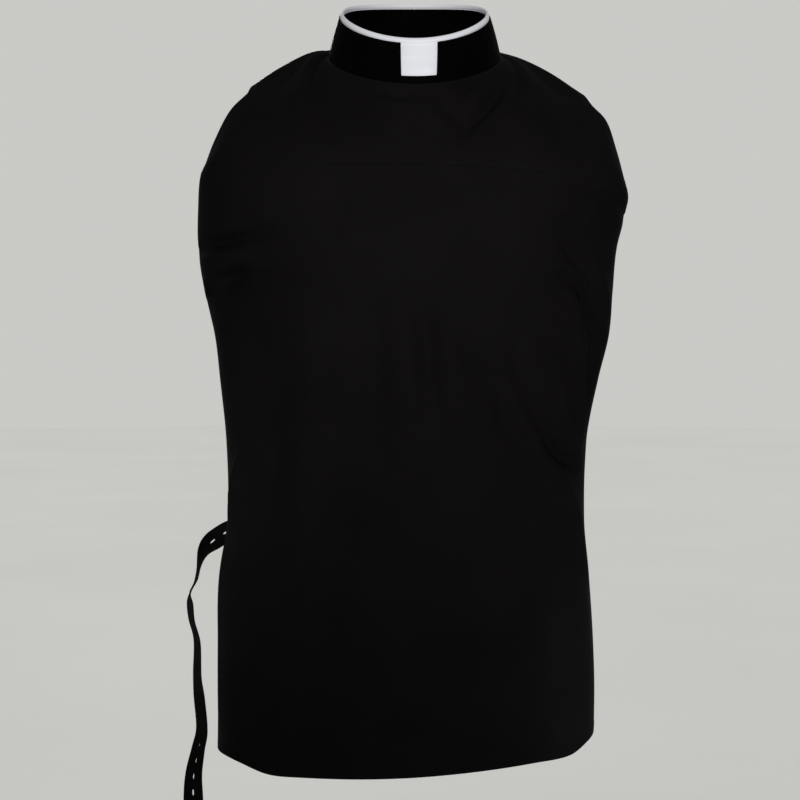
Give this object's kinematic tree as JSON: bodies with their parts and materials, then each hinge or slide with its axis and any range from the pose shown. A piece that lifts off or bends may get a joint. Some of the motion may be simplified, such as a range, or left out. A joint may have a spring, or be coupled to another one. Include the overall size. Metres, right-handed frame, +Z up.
{
  "type": "clergy rabat",
  "caption": "Black sleeveless clerical shirt-front with a stand collar over a white inner collar, plain bib panel, yoke and a loose elastic waist strap.",
  "frame": {"origin": "middle of the neck seam, where the wearer's neck holds the garment", "axes": "+Z up along the neck, -Y towards the garment's front, +X to the right as seen from the front (the wearer's left)"},
  "size_m": [0.4131, 0.2082, 0.9002],
  "materials": {
    "black_cloth": "fine matt poly-cotton weave with a faint sheen",
    "black_band": "smooth interfaced cloth",
    "white_cloth": "smooth fused linen, slightly bluish white",
    "black_elastic": "ribbed knitted elastic",
    "black_button": "satin polyester"
  },
  "bodies": {
    "root": {"front_panel": "black_cloth", "front_yoke": "black_cloth", "back_yoke_left": "black_cloth", "back_yoke_right": "black_cloth", "collar_band": "black_band", "collar_insert": "white_cloth", "collar_lining": "black_band", "waist_strap": "black_elastic", "collar_button": "black_button", "waist_button": "black_button"}
  },
  "joints": []
}
